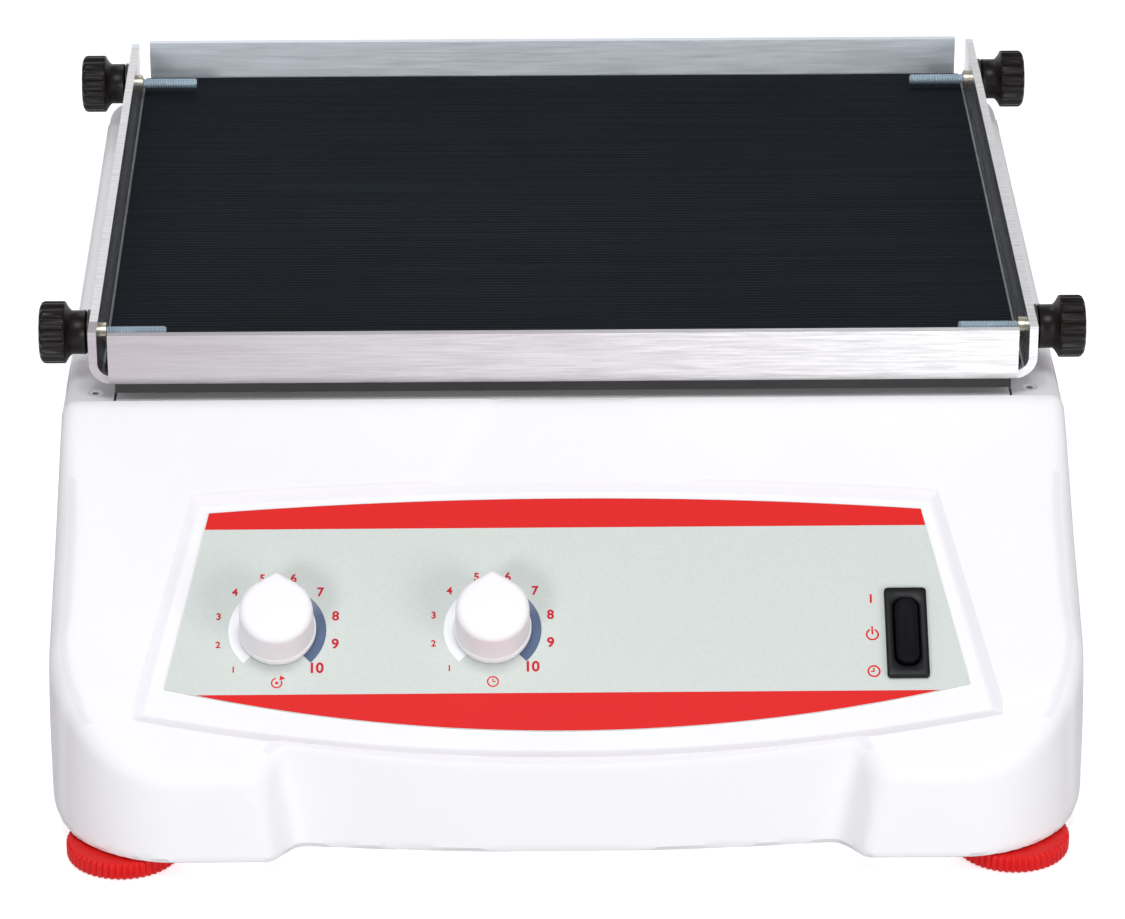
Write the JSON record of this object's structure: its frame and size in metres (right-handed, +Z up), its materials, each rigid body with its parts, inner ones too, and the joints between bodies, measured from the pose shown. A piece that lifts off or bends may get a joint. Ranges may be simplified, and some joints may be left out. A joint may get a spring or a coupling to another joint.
{
  "type": "orbital shaker",
  "caption": "Benchtop orbital shaker: matted tray with side clamp screws on an eccentric drive, over a sloped case with speed and time dials and a rocker switch.",
  "frame": {"origin": "centre of the footprint, on the bench surface under the feet", "axes": "+X to the right seen from the control panel, +Y to the rear, +Z up"},
  "size_m": [0.373, 0.4137, 0.1522],
  "materials": {
    "case_white": "fine matt texture",
    "deck_white": "fine matt powder coat",
    "overlay_grey": "printed polyester film",
    "zinc_steel": "zinc plated",
    "switch_black": "fine texture",
    "rocker_black": "semi-gloss",
    "board_green": "solder mask",
    "component_black": "moulded",
    "psu_aluminium": "folded sheet",
    "cast_aluminium": "machined",
    "bearing_steel": "ground steel",
    "weight_iron": "as cast",
    "motor_paint": "satin",
    "belt_rubber": "ribbed",
    "carrier_paint": "rough black powder coat",
    "tray_aluminium": "brushed along X",
    "mat_rubber": "fine ribs",
    "insert_brass": "dull plated",
    "knob_white": "semi-gloss",
    "clamp_phenolic": "semi-gloss phenolic",
    "washer_nylon": "nylon",
    "stud_zinc": "threaded, zinc plated",
    "foot_red": "ribbed rim",
    "foot_rubber": "soft"
  },
  "bodies": {
    "case": {"housing_shell": "case_white", "side_rail_left": "case_white", "side_rail_right": "case_white", "deck_panel": "deck_white", "case_screws": "zinc_steel", "base_plate": "zinc_steel", "panel_overlay": "overlay_grey", "speed_potentiometer": "zinc_steel", "time_potentiometer": "zinc_steel", "switch_bezel": "switch_black", "control_board": "board_green", "board_components": "component_black", "standoffs": "zinc_steel", "power_supply": "psu_aluminium", "power_inlet": "switch_black", "fuse_drawer": "switch_black", "chassis_plate": "zinc_steel", "bearing_housings": "cast_aluminium", "shaft_bearings": "bearing_steel", "motor_body": "motor_paint", "drive_belt": "belt_rubber", "foot_bushings": "zinc_steel", "wiring_harness": "component_black"},
    "main_crank": {"main_shaft": "bearing_steel", "driven_pulley": "cast_aluminium", "counterweight": "weight_iron"},
    "platform": {"carrier_plate": "carrier_paint", "platform_bearings": "bearing_steel", "tray": "tray_aluminium", "tray_screws": "zinc_steel", "mat": "mat_rubber", "clamp_inserts": "insert_brass"},
    "idler_left": {"idler_crank_left": "bearing_steel"},
    "idler_right": {"idler_crank_right": "bearing_steel"},
    "motor_rotor": {"motor_shaft": "bearing_steel", "motor_pulley": "cast_aluminium"},
    "speed_dial": {"speed_knob": "knob_white"},
    "time_dial": {"time_knob": "knob_white"},
    "rocker_arm": {"rocker": "rocker_black"},
    "clamp_slider_fl": {"clamp_washer_fl": "washer_nylon"},
    "clamp_screw_fl": {"clamp_knob_fl": "clamp_phenolic", "clamp_stud_fl": "stud_zinc"},
    "clamp_slider_fr": {"clamp_washer_fr": "washer_nylon"},
    "clamp_screw_fr": {"clamp_knob_fr": "clamp_phenolic", "clamp_stud_fr": "stud_zinc"},
    "clamp_slider_rl": {"clamp_washer_rl": "washer_nylon"},
    "clamp_screw_rl": {"clamp_knob_rl": "clamp_phenolic", "clamp_stud_rl": "stud_zinc"},
    "clamp_slider_rr": {"clamp_washer_rr": "washer_nylon"},
    "clamp_screw_rr": {"clamp_knob_rr": "clamp_phenolic", "clamp_stud_rr": "stud_zinc"},
    "foot_base_fl": {"foot_pad_fl": "foot_rubber"},
    "foot_screw_fl": {"foot_wheel_fl": "foot_red"},
    "foot_base_fr": {"foot_pad_fr": "foot_rubber"},
    "foot_screw_fr": {"foot_wheel_fr": "foot_red"},
    "foot_base_rl": {"foot_pad_rl": "foot_rubber"},
    "foot_screw_rl": {"foot_wheel_rl": "foot_red"},
    "foot_base_rr": {"foot_pad_rr": "foot_rubber"},
    "foot_screw_rr": {"foot_wheel_rr": "foot_red"}
  },
  "joints": [
    {"name": "drive_spin", "type": "hinge", "parent": "case", "child": "main_crank", "pos_m": [0, -0.0295, 0.102], "axis": [0, 0, 1], "continuous": true},
    {"name": "platform_pivot", "type": "hinge", "parent": "main_crank", "child": "platform", "pos_m": [0, -0.02, 0.117], "axis": [0, 0, 1], "continuous": true},
    {"name": "idler_left_spin", "type": "hinge", "parent": "case", "child": "idler_left", "pos_m": [-0.1, 0.0905, 0.102], "axis": [0, 0, 1], "continuous": true},
    {"name": "idler_right_spin", "type": "hinge", "parent": "case", "child": "idler_right", "pos_m": [0.1, 0.0905, 0.102], "axis": [0, 0, 1], "continuous": true},
    {"name": "motor_spin", "type": "hinge", "parent": "case", "child": "motor_rotor", "pos_m": [-0.085, -0.0295, 0.04], "axis": [0, 0, 1], "continuous": true},
    {"name": "speed_turn", "type": "hinge", "parent": "case", "child": "speed_dial", "pos_m": [-0.1005, -0.15368, 0.07029], "axis": [0, -0.585, 0.8111], "range_deg": [-135, 135]},
    {"name": "time_turn", "type": "hinge", "parent": "case", "child": "time_dial", "pos_m": [-0.0258, -0.15368, 0.07029], "axis": [0, -0.585, 0.8111], "range_deg": [-135, 135]},
    {"name": "rocker_tilt", "type": "hinge", "parent": "case", "child": "rocker_arm", "pos_m": [0.118, -0.15544, 0.06779], "axis": [1, 0, 0], "range_deg": [-10, 10]},
    {"name": "clamp_advance_fl", "type": "slide", "parent": "platform", "child": "clamp_slider_fl", "axis": [-1, 0, 0], "range_m": [0, 0.018]},
    {"name": "clamp_turn_fl", "type": "hinge", "parent": "clamp_slider_fl", "child": "clamp_screw_fl", "pos_m": [-0.168, -0.059, 0.141], "axis": [-1, 0, 0], "range_deg": [0, 6484]},
    {"name": "clamp_advance_fr", "type": "slide", "parent": "platform", "child": "clamp_slider_fr", "axis": [1, 0, 0], "range_m": [0, 0.018]},
    {"name": "clamp_turn_fr", "type": "hinge", "parent": "clamp_slider_fr", "child": "clamp_screw_fr", "pos_m": [0.168, -0.059, 0.141], "axis": [1, 0, 0], "range_deg": [0, 6484]},
    {"name": "clamp_advance_rl", "type": "slide", "parent": "platform", "child": "clamp_slider_rl", "axis": [-1, 0, 0], "range_m": [0, 0.018]},
    {"name": "clamp_turn_rl", "type": "hinge", "parent": "clamp_slider_rl", "child": "clamp_screw_rl", "pos_m": [-0.168, 0.179, 0.141], "axis": [-1, 0, 0], "range_deg": [0, 6484]},
    {"name": "clamp_advance_rr", "type": "slide", "parent": "platform", "child": "clamp_slider_rr", "axis": [1, 0, 0], "range_m": [0, 0.018]},
    {"name": "clamp_turn_rr", "type": "hinge", "parent": "clamp_slider_rr", "child": "clamp_screw_rr", "pos_m": [0.168, 0.179, 0.141], "axis": [1, 0, 0], "range_deg": [0, 6484]},
    {"name": "foot_advance_fl", "type": "slide", "parent": "case", "child": "foot_base_fl", "axis": [0, 0, -1], "range_m": [0, 0.008]},
    {"name": "foot_turn_fl", "type": "hinge", "parent": "foot_base_fl", "child": "foot_screw_fl", "pos_m": [-0.154, -0.186, 0.004], "axis": [0, 0, -1], "range_deg": [0, 2308]},
    {"name": "foot_advance_fr", "type": "slide", "parent": "case", "child": "foot_base_fr", "axis": [0, 0, -1], "range_m": [0, 0.008]},
    {"name": "foot_turn_fr", "type": "hinge", "parent": "foot_base_fr", "child": "foot_screw_fr", "pos_m": [0.154, -0.186, 0.004], "axis": [0, 0, -1], "range_deg": [0, 2308]},
    {"name": "foot_advance_rl", "type": "slide", "parent": "case", "child": "foot_base_rl", "axis": [0, 0, -1], "range_m": [0, 0.008]},
    {"name": "foot_turn_rl", "type": "hinge", "parent": "foot_base_rl", "child": "foot_screw_rl", "pos_m": [-0.154, 0.18, 0.004], "axis": [0, 0, -1], "range_deg": [0, 2308]},
    {"name": "foot_advance_rr", "type": "slide", "parent": "case", "child": "foot_base_rr", "axis": [0, 0, -1], "range_m": [0, 0.008]},
    {"name": "foot_turn_rr", "type": "hinge", "parent": "foot_base_rr", "child": "foot_screw_rr", "pos_m": [0.154, 0.18, 0.004], "axis": [0, 0, -1], "range_deg": [0, 2308]}
  ],
  "couplings": [
    {"joint": "platform_pivot", "follows": "drive_spin", "ratio": -1},
    {"joint": "idler_left_spin", "follows": "drive_spin", "ratio": 1},
    {"joint": "idler_right_spin", "follows": "drive_spin", "ratio": 1},
    {"joint": "motor_spin", "follows": "drive_spin", "ratio": 4},
    {"joint": "clamp_turn_fl", "follows": "clamp_advance_fl", "rad_per_m": 6283.2},
    {"joint": "clamp_turn_fr", "follows": "clamp_advance_fr", "rad_per_m": 6283.2},
    {"joint": "clamp_turn_rl", "follows": "clamp_advance_rl", "rad_per_m": 6283.2},
    {"joint": "clamp_turn_rr", "follows": "clamp_advance_rr", "rad_per_m": 6283.2},
    {"joint": "foot_turn_fl", "follows": "foot_advance_fl", "rad_per_m": 5026.5},
    {"joint": "foot_turn_fr", "follows": "foot_advance_fr", "rad_per_m": 5026.5},
    {"joint": "foot_turn_rl", "follows": "foot_advance_rl", "rad_per_m": 5026.5},
    {"joint": "foot_turn_rr", "follows": "foot_advance_rr", "rad_per_m": 5026.5}
  ]
}
